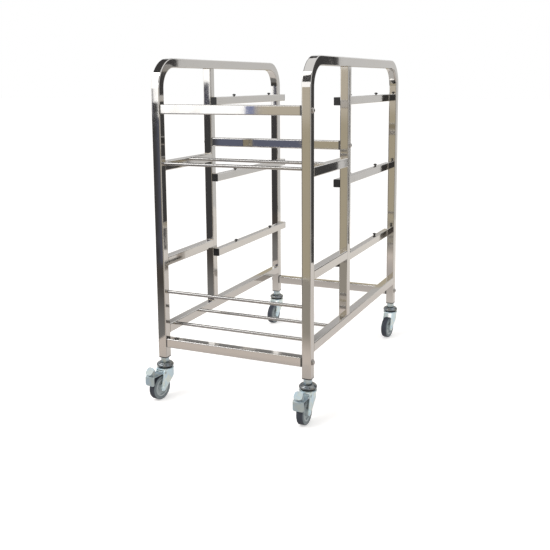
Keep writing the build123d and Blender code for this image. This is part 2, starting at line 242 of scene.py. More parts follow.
def repeat_pattern():
    """A piece set down at every place, turned as the place says."""
    tree = Pattern("repeated_piece", Piece="Object", Size="Float")
    piece = tree.add("GeometryNodeObjectInfo", {}, {"Object": tree.given("Piece")}, "Geometry")
    turn = tree.add("GeometryNodeInputNamedAttribute", {"data_type": "FLOAT_VECTOR"}, {"Name": "turn"})
    spun = tree.add("FunctionNodeEulerToRotation", {}, {"Euler": turn})
    tree.end(tree.add("GeometryNodeInstanceOnPoints", {}, {
        "Points": tree.given("Start"), "Instance": piece, "Rotation": spun, "Scale": tree.given("Size")}))
    return tree


def bead_pattern():
    """Weld beads: overlapping drops of metal along every joint line."""
    tree = Pattern("weld_beads", Bead="Float", Step="Float", Seed="Int")
    line = tree.add("GeometryNodeMeshToCurve", {}, {"Mesh": tree.given("Start")})
    even = tree.add("GeometryNodeResampleCurve", {"mode": "LENGTH"},
                    {"Curve": line, "Length": tree.given("Step")})
    along = tree.add("GeometryNodeInputTangent", {}, {})
    aim = tree.add("FunctionNodeAlignRotationToVector", {"axis": "Z"}, {"Vector": along})
    drop = tree.add("GeometryNodeMeshUVSphere", {},
                    {"Segments": 8, "Rings": 4, "Radius": tree.given("Bead")})
    soft = tree.add("GeometryNodeSetShadeSmooth", {}, {"Geometry": drop})
    smallest, largest = (0.85, 0.85, 0.9), (1.12, 1.12, 1.3)
    uneven = tree.add("FunctionNodeRandomValue", {"data_type": "FLOAT_VECTOR"},
                      {0: smallest, 1: largest, "Seed": tree.given("Seed")})
    tree.end(tree.add("GeometryNodeInstanceOnPoints", {}, {
        "Points": even, "Instance": soft, "Rotation": aim, "Scale": uneven}))
    return tree


# Colours

# Near-black colour of painted shade, for the gap between a castor's head and its crown.
GAP_SHADE = (0.018, 0.020, 0.022)
DARK = (0.066, 0.064, 0.064)
BROWN = (0.085, 0.074, 0.066)
BEIGE = (0.53, 0.47, 0.35)
BARE_FLOOR = (0.77, 0.69, 0.63)


def rgba(colour, share=1.0):
    """A colour with its opacity, made darker or lighter by a share."""
    return (*(part * share for part in colour[:3]), 1.0)


def tinted(colour, *shares):
    """A colour with each of its three parts changed by its own share."""
    return (*(part * share for part, share in zip(colour, shares)), 1.0)


# Finishes

def polished_steel(name, along, colour, roughness):
    """Bright stainless tube: fine grain along the tube, soft smears, a few hairline scratches."""
    f = Finish(name)
    stretch = {"x": (0.03, 1, 1), "y": (1, 0.03, 1), "z": (1, 1, 0.03)}[along]
    grain = f.noise(f.place(stretch), scale=900.0, detail=2.0, roughness=0.6)
    smears = f.noise(f.place(), scale=14.0, detail=4.0, roughness=0.6).ramp(0.42, 0.75)
    clouds = f.noise(f.place(), scale=5.0, detail=2.0)
    hairlines = 1.0 - f.cells(f.place(stretch), 60.0, "DISTANCE_TO_EDGE").ramp(0.0, 0.012)
    tint = f.mixed(clouds, rgba(colour), rgba(colour, 0.94))
    tint = f.mixed(smears * 0.35, tint, tinted(colour, 0.97, 0.955, 0.92))
    rough = roughness + grain * 0.02 + smears * 0.05 + hairlines * 0.03
    return f.surface(Base_Color=tint, Metallic=1.0, Roughness=rough.clamped(),
                     Normal=f.bump(grain * 0.6 + hairlines * -0.8, distance=0.000002, strength=0.5))


def weld_metal(colour):
    """Weld metal: bright crests, straw and violet heat tint between the joints."""
    f = Finish("weld_metal")
    heat = f.noise(f.place(), scale=90.0, roughness=0.6)
    ripple = f.noise(f.place(), scale=2600.0, detail=2.0)
    straw, violet = tinted(colour, 1.0, 0.9, 0.66), tinted(colour, 0.66, 0.6, 0.72)
    tint = f.mixed(heat.ramp(0.45, 0.7), f.mixed(heat.ramp(0.3, 0.5), rgba(colour), straw), violet)
    return f.surface(Base_Color=tint, Metallic=1.0, Roughness=(0.24 + heat * 0.18).clamped(),
                     Normal=f.bump(ripple, distance=0.00001, strength=0.5))


def bolt_steel(name, colour, roughness):
    """Turned and tumbled steel of the fasteners, with small dull marks."""
    f = Finish(name)
    tumble = f.noise(f.place(), scale=1300.0, roughness=0.65)
    marks = f.noise(f.place(offset=(3, 1, 2)), scale=240.0, detail=5.0, roughness=0.7).ramp(0.56, 0.8)
    tint = f.mixed(marks * 0.6, f.mixed(tumble, rgba(colour, 0.95), rgba(colour)), rgba(colour, 0.72))
    rough = roughness + tumble * 0.08 + marks * 0.14
    return f.surface(Base_Color=tint, Metallic=1.0, Roughness=rough.clamped(),
                     Normal=f.bump(tumble, distance=0.00002, strength=0.5))


def zinc(name, colour, roughness, metallic=1.0, gap_shade_heights=None):
    """Zinc plate: a cast that drifts from blue to straw, dull marks, and near-black painted shade past a
    height, for the shaded gap between a castor's head and crown.
    """
    f = Finish(name)
    drift = f.noise(f.place(), scale=45.0, roughness=0.6)
    crystals = f.add("ShaderNodeRGBToBW", {}, {"Color": f.cells(f.place(), 420.0, output="Color")})
    fine = f.noise(f.place(offset=(5, 2, 7)), scale=1600.0, detail=2.0)
    marks = f.noise(f.place(offset=(1, 8, 3)), scale=160.0, detail=4.0, roughness=0.7).ramp(0.58, 0.78)
    blue, straw = tinted(colour, 0.88, 0.99, 1.06), tinted(colour, 1.05, 1.03, 0.93)
    tint = f.mixed(drift.ramp(0.35, 0.65), blue, straw)
    tint = f.mixed(crystals * 0.12, tint, rgba(colour, 0.8))
    tint = f.mixed(marks * 0.5, tint, rgba(colour, 0.62))
    rough = roughness + drift * 0.08 + marks * 0.15 + fine * 0.05
    if gap_shade_heights:
        # Painted shade: from the first height towards the second the zinc turns near-black, because that gap
        # lies in shade.
        clean, full = gap_shade_heights
        tint = f.mixed(f.along("Z").ramp(clean, full), tint, rgba(GAP_SHADE))
    return f.surface(Base_Color=tint, Metallic=metallic, Roughness=rough.clamped(),
                     Normal=f.bump(fine * 0.5 + drift, distance=0.00003, strength=0.5))


def tyre_rubber(shaded_tread, wall):
    """Grey rubber with road dust: the rolling face painted dark as painted shade, and the moulded side walls
    painted paler as painted light.
    """
    f = Finish("grey_rubber")
    pits = f.noise(f.place(), scale=1500.0, roughness=0.7)
    dust = f.noise(f.place(offset=(2, 6, 1)), scale=90.0, detail=4.0, roughness=0.7).ramp(0.45, 0.75)
    # Painted light and shade: the side walls get the paler wall colour, and the rolling face gets the dark
    # tread colour.
    side = f.attribute("lit_side_wall")
    face = f.mixed(dust * 0.35, rgba(shaded_tread), tinted(shaded_tread, 1.7, 1.65, 1.6))
    lit_flank = f.mixed(dust * 0.4, rgba(wall), rgba(wall, 0.78))
    rough = 0.55 + dust * 0.2 + pits * 0.08 - side * 0.1
    return f.surface(Base_Color=f.mixed(side, face, lit_flank), Roughness=rough.clamped(),
                     Specular_IOR_Level=0.4, Normal=f.bump(pits, distance=0.00006, strength=0.7))


def moulded(name, colour, roughness):
    """Moulded plastic: a fine spark grain, with slight scuffs."""
    f = Finish(name)
    grain = f.noise(f.place(), scale=1400.0, detail=2.0, roughness=0.6)
    scuffs = f.noise(f.place(offset=(4, 4, 1)), scale=120.0, detail=4.0, roughness=0.7).ramp(0.55, 0.8)
    paler = (*(part * 1.25 + 0.01 for part in colour[:3]), 1.0)
    tint = f.mixed(scuffs * 0.5, rgba(colour), paler)
    rough = roughness + scuffs * 0.15 + grain * 0.06
    return f.surface(Base_Color=tint, Roughness=rough.clamped(),
                     Specular_IOR_Level=0.45, Normal=f.bump(grain, distance=0.00003, strength=0.6))


# Meshes

SAME_PLACE = 2e-6  # metres
FLAT_WITHIN = math.radians(0.4)
SOFT_BELOW = 32.0  # degrees


def add_object(name, mesh, slot, body, *nodes):
    """Show a mesh as a piece that stands for these nodes and rides on a body."""
    piece = bpy.data.objects.new(name, mesh)
    bpy.context.scene.collection.objects.link(piece)
    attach(piece, body)
    if nodes:
        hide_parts(*nodes)


def node_copy(node):
    """A node's faces with their doubles merged and its flat faces joined."""
    work = bmesh.new()
    work.from_mesh(NODES[node].data)
    work.transform(NODES[node].matrix_world)
    bmesh.ops.remove_doubles(work, verts=work.verts, dist=SAME_PLACE)
    bmesh.ops.dissolve_limit(work, angle_limit=FLAT_WITHIN, verts=work.verts, edges=work.edges)
    return work


def ease(work, edges, width, segments):
    """Round some edges over."""
    bmesh.ops.bevel(work, geom=edges, offset=width, segments=segments, profile=0.6, affect="EDGES",
                    clamp_overlap=True, loop_slide=True)


def sharp_edges(work, angle):
    """The edges where two faces meet at more than an angle in degrees."""
    return [edge for edge in work.edges
            if len(edge.link_faces) == 2 and edge.calc_face_angle(0.0) > math.radians(angle)]


def mesh_of(work, name):
    mesh = bpy.data.meshes.new(name)
    work.to_mesh(mesh)
    work.free()
    return mesh


def smoothed(mesh, angle=28.0):
    """Shade smooth below an angle in degrees, with the large flat faces kept truly flat."""
    mesh.shade_smooth()
    mesh.set_sharp_from_angle(angle=math.radians(angle))
    work = bmesh.new()
    work.from_mesh(mesh)
    work.faces.ensure_lookup_table()
    areas = [face.calc_area() for face in work.faces]
    normals = [Vector()] * len(mesh.loops)
    for vert in work.verts:
        for group in smooth_groups(vert):
            total = Vector()
            for loop in group:
                total += loop.face.normal * (areas[loop.face.index] * loop.calc_angle())
            for loop in group:
                normals[loop.index] = total.normalized() if total.length else loop.face.normal
    work.free()
    mesh.normals_split_custom_set(normals)
    return mesh


def smooth_groups(vert):
    """The corners round a vertex, in groups that no sharp edge divides."""
    left = {loop.face: loop for loop in vert.link_loops}
    groups = []
    while left:
        face, loop = left.popitem()
        group, open_faces = [loop], [face]
        while open_faces:
            face = open_faces.pop()
            for edge in face.edges:
                if vert in edge.verts and edge.smooth and len(edge.link_faces) == 2:
                    for other in edge.link_faces:
                        if other in left:
                            group.append(left.pop(other))
                            open_faces.append(other)
        groups.append(group)
    return groups


def dress(node, finish, slot, softness=0.0, angle=28.0):
    """Replace a node with its clean copy in the given finish, its sharp edges eased."""
    work = node_copy(node)
    if softness:
        ease(work, sharp_edges(work, angle), softness, segments=2)
    show_copy(work, node, "_dressed", finish, slot, angle)


def show_copy(work, node, ending, finish, slot, angle):
    """Show a node's reworked copy in its place."""
    mesh = smoothed(mesh_of(work, node + "_mesh"), angle)
    mesh.materials.clear()
    mesh.materials.append(finish)
    add_object(node + ending, mesh, slot, body_of(NODES[node])[0], node)


def solids_of(node):
    """The lowest and highest corner of each solid of a node, sorted by place."""
    work = node_copy(node)
    left, boxes = set(work.verts), []
    while left:
        grown, border = set(), {left.pop()}
        while border:
            grown |= border
            border = {other for vert in border for edge in vert.link_edges for other in edge.verts} - grown
        left -= grown
        boxes.append([Vector([pick(vert.co[axis] for vert in grown) for axis in range(3)])
                      for pick in (min, max)])
    work.free()
    return sorted(boxes, key=lambda box: [round(part, 4) for part in (*box[0], *box[1])])


def ring(radius, height, count=48, flats=0.0, slope=0.0):
    """Points round the Z axis on a circle, or on a hexagon that the circle cuts, its corners sloped."""
    points = []
    for step in range(count):
        angle = 2 * math.pi * step / count
        reach = radius
        if flats:
            side = (angle + math.pi / 6) % (math.pi / 3) - math.pi / 6
            reach = min(radius, flats / 2 / math.cos(side))
        low = slope * max(0.0, reach - flats / 2)
        points.append((reach * math.cos(angle), reach * math.sin(angle), height - low))
    return points


def hexagon(flats, height, slope=0.0):
    """Points on a whole hexagon, as many as on a circle."""
    return ring(flats, height, flats=flats, slope=slope)


def lofted(name, rings, closed=False):
    """A mesh through rings of points, with its open ends capped."""
    work = bmesh.new()
    rows = [[work.verts.new(point) for point in points] for points in rings]
    pairs = zip(rows, rows[1:] + rows[:1]) if closed else zip(rows, rows[1:])
    for low, high in pairs:
        for index in range(len(low)):
            work.faces.new((low[index - 1], low[index], high[index], high[index - 1]))
    if not closed:
        work.faces.new(rows[0])
        work.faces.new(rows[-1])
    bmesh.ops.recalc_face_normals(work, faces=work.faces)
    return mesh_of(work, name)


def eased(outline, closed):
    """Points of an outline of (radius, height, easing), each corner cut to an arc."""
    points, steps, room = [], 4, 0.49
    for index, (radius, height, easing) in enumerate(outline):
        here = Vector((radius, height))
        if not easing or (not closed and index in (0, len(outline) - 1)):
            points.append(here)
            continue
        before = Vector(outline[index - 1][:2]) - here
        after = Vector(outline[(index + 1) % len(outline)][:2]) - here
        setback = easing / math.tan(before.angle(after) / 2)
        start = here + before.normalized() * min(setback, before.length * room)
        end = here + after.normalized() * min(setback, after.length * room)
        for step in range(steps + 1):
            share = step / steps
            points.append(start * (1 - share) ** 2 + here * (2 * share * (1 - share)) + end * share ** 2)
    return points


def mirrored(half):
    """An outline made of a half and its mirror below z = 0."""
    return half + [(radius, -height, easing) for radius, height, easing in reversed(half)]


def turned(name, outline, count=48, closed=False):
    """A turned piece about Z, from an outline of (radius, height, easing)."""
    return lofted(name, [ring(point.x, point.y, count) for point in eased(outline, closed)], closed)


def repeated(name, piece_mesh, places, finish, slot, body, *nodes):
    """Set a piece down at places of (position, turn) in one plain mesh."""
    piece = bpy.data.objects.new(name + "_one", smoothed(piece_mesh, SOFT_BELOW))
    bpy.context.scene.collection.objects.link(piece)
    start = bpy.data.meshes.new(name + "_places")
    start.from_pydata([place for place, turn in places], [], [])
    turns = start.attributes.new("turn", "FLOAT_VECTOR", "POINT")
    turns.data.foreach_set("vector", [part for place, turn in places for part in turn])
    mesh = repeat_pattern().grown(name, start, Piece=piece, Size=1.0, Finish=finish)
    bpy.data.objects.remove(piece)
    add_object(name, mesh, slot, body, *nodes)


def placed(name, mesh, matrix, finish, slot, body, *nodes):
    """Show a mesh at a place, in the given finish."""
    mesh.transform(matrix)
    mesh = smoothed(mesh, SOFT_BELOW)
    mesh.materials.append(finish)
    add_object(name, mesh, slot, body, *nodes)


def castor_turn(corner):
    """How far a castor is turned about its stem."""
    along = JOINTS["spin_" + corner]["axis"]
    return math.atan2(along[1], along[0])


def stem_place(corner, height):
    """A place at some height on the axis of a castor's stem."""
    return (*JOINTS["swivel_" + corner]["pos_m"][:2], height)


def castor_place(corner):
    """Place on the floor under a castor's stem, turned as the castor is."""
    return Matrix.Translation(stem_place(corner, 0.0)) @ Matrix.Rotation(castor_turn(corner), 4, "Z")


def axle_place(corner):
    """Place that lays the Z axis of a turned piece along a castor's axle, to the right."""
    middle = Matrix.Translation(JOINTS["spin_" + corner]["pos_m"])
    return middle @ Matrix.Rotation(castor_turn(corner), 4, "Z") @ Matrix.Rotation(math.pi / 2, 4, "Y")


# Settings

def length(name, description, value):
    """A length in metres that a user may change."""
    return FloatProperty(name=name, description=description, subtype="DISTANCE", unit="LENGTH", min=0.0,
                         precision=4, default=value)


def tone(name, description, value):
    """A colour that a user may change."""
    return FloatVectorProperty(name=name, description=description, subtype="COLOR", size=3, min=0.0,
                               max=1.0, default=value)


def fraction(name, description, value):
    """A number from 0 to 1 that a user may change."""
    return FloatProperty(name=name, description=description, subtype="FACTOR", min=0.0, max=1.0,
                         default=value)


def turn_angle(name, description, value):
    """An angle in radians that a user may change."""
    return FloatProperty(name=name, description=description, subtype="ANGLE", unit="ROTATION",
                         default=value)


class TrolleyFrameSettings(bpy.types.PropertyGroup):
    steel: tone("Steel", "Colour of the polished tube", (0.66, 0.645, 0.625))
    rod: tone("Rods", "Colour of the drawn rods", (0.46, 0.447, 0.434))
    polish: fraction("Tube roughness", "Roughness of the polished tube", 0.03)
    runner_polish: fraction("Runner roughness", "Roughness of the runners", 0.07)
    rod_polish: fraction("Rod roughness", "Roughness of the rods", 0.16)
    bead: length("Weld bead", "Radius of a drop in a weld", 0.0011)
    bead_step: length("Bead step", "Distance from drop to drop", 0.0014)
    seed: IntProperty(name="Weld seed", description="Seed for the uneven drops of the welds", min=0,
                      default=4)


class TrolleyFastenerSettings(bpy.types.PropertyGroup):
    steel: tone("Bolt steel", "Colour of the bolts and washers", (0.50, 0.48, 0.46))
    plug: tone("Plugs", "Colour of the plugs between bars and posts", (0.085, 0.078, 0.072))
    cap: tone("End caps", "Colour of the end caps of the runners", (0.012, 0.012, 0.013))
    insert: tone("Foot inserts", "Colour of the inserts in the posts' feet", (0.014, 0.014, 0.015))
    head_height: length("Bolt head", "Height of the domed heads", 0.005)
    socket: length("Bolt socket", "Size of the hexagon socket across its flats", 0.005)
    socket_depth: length("Socket depth", "Depth of the hexagon socket", 0.0025)
    stud: tone("Studs", "Colour of the stop studs", (0.040, 0.039, 0.038))
    stud_head: length("Stud head", "Height of a stop stud's head", 0.0055)
    stud_neck: length("Stud neck", "Radius of a stop stud's neck", 0.003)


class TrolleyCastorSettings(bpy.types.PropertyGroup):
    zinc: tone("Zinc", "Colour of the plated nuts and stems", (0.60, 0.68, 0.73))
    fork: tone("Fork zinc", "Colour of the plated forks", (0.84, 0.94, 0.99))
    race: tone("Race zinc", "Colour of the round heads", (0.27, 0.28, 0.295))
    # Near-black as painted shade: the balls sit in the shaded gap between head and crown.
    ball: tone("Balls", "Colour of the oiled bearing balls", (0.10, 0.10, 0.10))
    bush: tone("Bushes", "Colour of the axle bushes", (0.60, 0.60, 0.60))
    pedal: tone("Pedal zinc", "Colour of the brake levers", (0.42, 0.475, 0.51))
    # Painted light and shade: the tread colour is dark as painted shade on the rolling face, and the wall
    # colour is paler as painted light on the side walls.
    shaded_tread: tone("Tread", "Colour of the rolling face", (0.040, 0.046, 0.062))
    wall: tone("Side wall", "Colour of the tyre's side walls", (0.20, 0.235, 0.25))
    wheel: tone("Wheel", "Colour of the wheel centres", (0.46, 0.51, 0.52))
    fork_bend: length("Fork bend", "Radius of the fork's pressed corners", 0.0022)
    mould_line: length("Mould line", "Depth of the groove beside the tyre's mould line", 0.0003)


class TrolleyStageSettings(bpy.types.PropertyGroup):
    floor: tone("Floor", "Colour of the floor", (0.82, 0.80, 0.785))
    room_light: FloatProperty(name="Room light", description="Strength of the light from all round",
                              min=0.0, default=0.8)
    lamp_power: FloatProperty(name="Lamp", description="Power of the soft lamp", min=0.0, default=60.0,
                              subtype="POWER", unit="POWER")
    camera_place: FloatVectorProperty(name="Camera", description="Where the camera stands", size=3,
                                      subtype="TRANSLATION", unit="LENGTH",
                                      default=(1.0453, -2.4416, 0.9660))
    camera_yaw: turn_angle("Yaw", "Turn of the camera to its left", 0.4191)
    camera_pitch: turn_angle("Pitch", "How far the camera looks down", 0.1548)
    camera_roll: turn_angle("Roll", "Roll of the camera", -0.0072)
    camera_lens: FloatProperty(name="Lens", description="Focal length in millimetres", default=52.3)
    camera_shift: FloatVectorProperty(name="Shift", description="Shift of the picture", size=2,
                                      default=(0.0022, -0.1235))


# Operators for the pieces

class TROLLEY_OT_tubes(bpy.types.Operator):
    """Finish the posts, rails and cross bars of the frame"""
    bl_idname = "trolley.tubes"
    bl_label = "Frame tubes"

    def execute(self, context):
        look = context.scene.trolley_frame
        upright = polished_steel("polished_steel_upright", "z", look.steel, look.polish)
        lengthwise = polished_steel("polished_steel_lengthwise", "y", look.steel, look.polish)
        across = polished_steel("polished_steel_across", "x", look.steel, look.polish)
        for side in SIDES:
            dress(side + "_side_frame", upright, "stainless_tube")
            dress(side + "_middle_post", upright, "stainless_tube")
            for rail in RAILS:
                dress(side + "_" + rail + "_rail", lengthwise, "stainless_tube")
        for bar in BARS:
            dress(bar, across, "stainless_tube")
        return {"FINISHED"}


class TROLLEY_OT_rods(bpy.types.Operator):
    """Finish the round rods of the two shelves and of the front guard"""
    bl_idname = "trolley.rods"
    bl_label = "Shelf rods"

    def execute(self, context):
        look = context.scene.trolley_frame
        drawn = polished_steel("drawn_rod_steel", "x", look.rod, look.rod_polish)
        for rod in RODS:
            dress(rod, drawn, "stainless_tube")
        return {"FINISHED"}


class TROLLEY_OT_runners(bpy.types.Operator):
    """Finish the bin runners with their end caps"""
    bl_idname = "trolley.runners"
    bl_label = "Bin runners"

    def execute(self, context):
        look = context.scene.trolley_frame
        steel = polished_steel("polished_steel_runner", "y", look.steel, look.runner_polish)
        black = moulded("black_end_plug", context.scene.trolley_fasteners.cap, roughness=0.42)
        for side in SIDES:
            for level in LEVELS:
                dress(side + "_" + level + "_runner", steel, "stainless_tube")
        dress("runner_end_caps", black, "black_plastic", softness=0.0004)
        return {"FINISHED"}


class TROLLEY_OT_studs(bpy.types.Operator):
    """Make the stop studs on the runners"""
    bl_idname = "trolley.studs"
    bl_label = "Stop studs"

    def execute(self, context):
        look = context.scene.trolley_fasteners
        boxes = solids_of("stop_studs")
        low, high = boxes[0]
        pin, neck, head, tip = 0.002, look.stud_neck, (high.x - low.x) / 2, 0.0003
        under, brow = -look.stud_head, -0.0028
        one = turned("stud_one", [
            (pin, low.z - high.z, 0), (pin, under - neck, 0), (neck, under - neck, 0), (neck, under, 0.0003),
            (head, under, 0.0012), (head, brow, 0.0022), (head * 0.5, -0.0002, 0.003), (tip, 0.0, 0)],
            count=32)
        places = [((low.x / 2 + high.x / 2, low.y / 2 + high.y / 2, high.z), (0, 0, 0))
                  for low, high in boxes]
        finish = moulded("dark_stud", look.stud, roughness=0.35)
        repeated("stop_studs_made", one, places, finish, "stud_plastic", "frame", "stop_studs")
        return {"FINISHED"}


class TROLLEY_OT_fasteners(bpy.types.Operator):
    """Make the domed bolts and their washers, and finish the plugs and nuts"""
    bl_idname = "trolley.fasteners"
    bl_label = "Bolts and plugs"

    def execute(self, context):
        look = context.scene.trolley_fasteners
        steel = bolt_steel("bolt_steel", look.steel, roughness=0.26)
        bolts = solids_of("frame_bolts")
        low, high = bolts[0]
        one = self.bolt(look, (high.z - low.z) / 2, high.x - low.x)
        repeated("frame_bolts_made", one, self.seats(bolts), steel, "bolt_steel", "frame", "frame_bolts")
        washers = solids_of("frame_washers")
        low, high = washers[0]
        hole, rim, thick = 0.0042, (high.z - low.z) / 2, high.x - low.x
        one = turned("washer_one", [(hole, 0, 0.0002), (rim, 0, 0.0004), (rim, -thick, 0.0003),
                                    (hole, -thick, 0.0002)], closed=True)
        repeated("frame_washers_made", one, self.seats(washers), steel, "bolt_steel", "frame",
                 "frame_washers")
        plug = moulded("brown_grey_plug", look.plug, roughness=0.4)
        insert = moulded("black_insert", look.insert, roughness=0.45)
        dress("bar_plug_nuts", steel, "plain_steel", softness=0.0002)
        dress("bar_end_plugs", plug, "black_plastic", softness=0.0004)
        dress("foot_inserts", insert, "black_plastic", softness=0.0004)
        return {"FINISHED"}

    def seats(self, boxes):
        """Outer ends of solids that lie across the trolley, with Z turned outwards."""
        places = []
        for low, high in boxes:
            side = 1 if low.x + high.x > 0 else -1
            end = (high.x if side > 0 else low.x, (low.y + high.y) / 2, (low.z + high.z) / 2)
            places.append((end, (0, side * math.pi / 2, 0)))
        return places

    def bolt(self, look, head, reach):
        """Domed bolt below z = 0, with a hexagon socket in its head."""
        tall, flats, depth = look.head_height, look.socket, look.socket_depth
        shank, chamfer, band, steps = 0.004, 0.0006, 0.0012, 9
        rings = [ring(shank - chamfer, -reach), ring(shank, -reach + chamfer), ring(shank, -tall),
                 ring(head, -tall), ring(head, -tall + band)]
        for step in range(1, steps):
            angle = math.pi / 2 * step / steps
            rings.append(ring(head * math.cos(angle), -tall + band + (tall - band) * math.sin(angle)))
        rings += [ring(flats * 0.62, -0.0001), hexagon(flats, -0.0002), hexagon(flats, -depth),
                  ring(0.0004, -depth - 0.0006)]
        return lofted("bolt_one", rings)


class TROLLEY_OT_welds(bpy.types.Operator):
    """Lay weld beads where rails, posts, rods and runners meet"""
    bl_idname = "trolley.welds"
    bl_label = "Welds"

    def execute(self, context):
        look = context.scene.trolley_frame
        lines = []
        for side in SIDES:
            low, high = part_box(side + "_middle_post")
            self.edges(lines, low, high, 2, 1)
            for rail in RAILS:
                low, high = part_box(side + "_" + rail + "_rail")
                self.edges(lines, low, high, 1, 2)
            self.runner_edges(lines, side)
        for rod in RODS:
            low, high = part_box(rod)
            self.rod_ends(lines, low, high)
        points, edges = [], []
        for line in lines:
            edges += [(len(points) + step, len(points) + step + 1) for step in range(len(line) - 1)]
            points += line
        start = bpy.data.meshes.new("weld_lines")
        start.from_pydata(points, edges, [])
        mesh = bead_pattern().grown("weld_beads", start, Bead=look.bead, Step=look.bead_step,
                                    Seed=look.seed, Finish=weld_metal(look.steel))
        add_object("weld_beads", mesh, "stainless_tube", "frame")
        return {"FINISHED"}

    def edges(self, lines, low, high, end_axis, edge_axis):
        """Lines across a tube's two edges, at both of its ends."""
        inset = 0.002
        for end in (low, high):
            for edge in (low, high):
                point = Vector((low.x + inset, 0, 0))
                point[end_axis], point[edge_axis] = end[end_axis], edge[edge_axis]
                lines.append([tuple(point), (high.x - inset, point.y, point.z)])

    def runner_edges(self, lines, side):
        """Lines along the top and bottom of each runner, where it lies on the middle and back posts."""
        near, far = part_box(side + "_middle_post")
        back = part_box(side + "_side_frame")[1].y
        spans, inset = [(near.y, far.y), (back - (far.y - near.y), back)], 0.004
        for level in LEVELS:
            low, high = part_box(side + "_" + level + "_runner")
            x = high.x if side == "right" else low.x
            for start, end in spans:
                for z in (low.z, high.z):
                    lines.append([(x, start + inset, z), (x, end - inset, z)])

    def rod_ends(self, lines, low, high):
        """Arcs under and beside each end of a rod."""
        radius = (high.z - low.z) / 2
        middle = (low + high) / 2
        start, sweep, steps = 150, 240, 12
        for x in (low.x, high.x):
            arc = []
            for step in range(steps + 1):
                angle = math.radians(start + sweep * step / steps)
                arc.append((x, middle.y + radius * math.cos(angle), middle.z + radius * math.sin(angle)))
            lines.append(arc)


class TROLLEY_OT_castor_mounts(bpy.types.Operator):
    """Make the castors' round heads, lock nuts and bearing balls, and finish their stems"""
    bl_idname = "trolley.castor_mounts"
    bl_label = "Castor heads and nuts"

    def execute(self, context):
        look = context.scene.trolley_castors
        plate = zinc("zinc_plate", look.zinc, roughness=0.24)
        dress("castor_stems", plate, "zinc_plate", softness=0.0002)
        low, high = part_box("castor_stem_nuts")
        repeated("castor_stem_nuts_made", self.nut(high.z - low.z), self.places(low.z), plate, "zinc_plate",
                 "frame", "castor_stem_nuts")
        # Painted shade on the bottom of the race, where the gap above the fork's crown lies in shade.
        gap_shade_heights = zinc("dark_zinc_race", look.race, roughness=0.2, gap_shade_heights=(0.1007, 0.1002))
        one = self.head(*solids_of("castor_head_races")[0])
        repeated("castor_heads_made", one, self.places(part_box("castor_head_races")[0].z), gap_shade_heights,
                 "zinc_plate", "frame", "castor_head_races")
        balls = solids_of("castor_balls")
        # Painted shade: the balls are darkened because they lie in the gap's shade.
        shaded = bolt_steel("oiled_ball_steel", look.ball, roughness=0.12)
        repeated("castor_balls_made", self.ball(*balls[0]),
                 [(tuple((low + high) / 2), (0, 0, 0)) for low, high in balls], shaded, "plain_steel",
                 "frame", "castor_balls")
        return {"FINISHED"}

    def places(self, height):
        """Where a piece on each stem goes, turned as its castor is."""
        return [(stem_place(corner, height), (0, 0, castor_turn(corner))) for corner in CORNERS]

    def ball(self, low, high):
        """Bearing ball of the size of a box, with small flats at its poles."""
        radius, first, stride = (high.z - low.z) / 2, 5, 17
        angles = [math.radians(first + stride * step) for step in range(11)]
        outline = [(radius * math.sin(angle), -radius * math.cos(angle), 0) for angle in angles]
        return turned("ball_one", outline, count=12)

    def nut(self, tall):
        """Chamfered hexagon nut standing on z = 0."""
        flats, bore, chamfer, tilt = 0.022, 0.006, 0.0006, math.tan(math.radians(30))
        rings = [ring(bore, chamfer), ring(bore + chamfer, 0.0), ring(flats / 2, 0.0),
                 hexagon(flats, 0.0, -tilt), hexagon(flats, tall, tilt),
                 ring(flats / 2, tall), ring(bore + chamfer, tall), ring(bore, tall - chamfer)]
        return lofted("nut_one", rings, closed=True)

    def head(self, low, high):
        """Pressed round head of the castor: a domed top, a rolled rim and a lip below it."""
        reach, tall = (high.x - low.x) / 2, high.z - low.z
        bore, skirt, crown, lip, rim = 0.006, reach - 0.005, 0.015, 0.0014, 0.0064
        outline = [(bore, tall, 0.0003), (bore, 0.0, 0.0003), (skirt, 0.0, 0.0004),
                   (skirt, lip, 0.0003), (reach, lip, 0.0012), (reach, rim, 0.0006)]
        bend = ((reach - crown) ** 2 + (tall - rim) ** 2) / (2 * (tall - rim))
        sweep = math.asin((reach - crown) / bend)
        steps, groove, groove_depth = 7, 4, 0.0005
        for step in range(steps - 1, -1, -1):
            angle = sweep * step / steps
            arm = bend - (groove_depth if step == groove else 0.0)
            outline.append((crown + arm * math.sin(angle), tall - bend + arm * math.cos(angle), 0.0008))
        return turned("head_one", outline, count=64, closed=True)


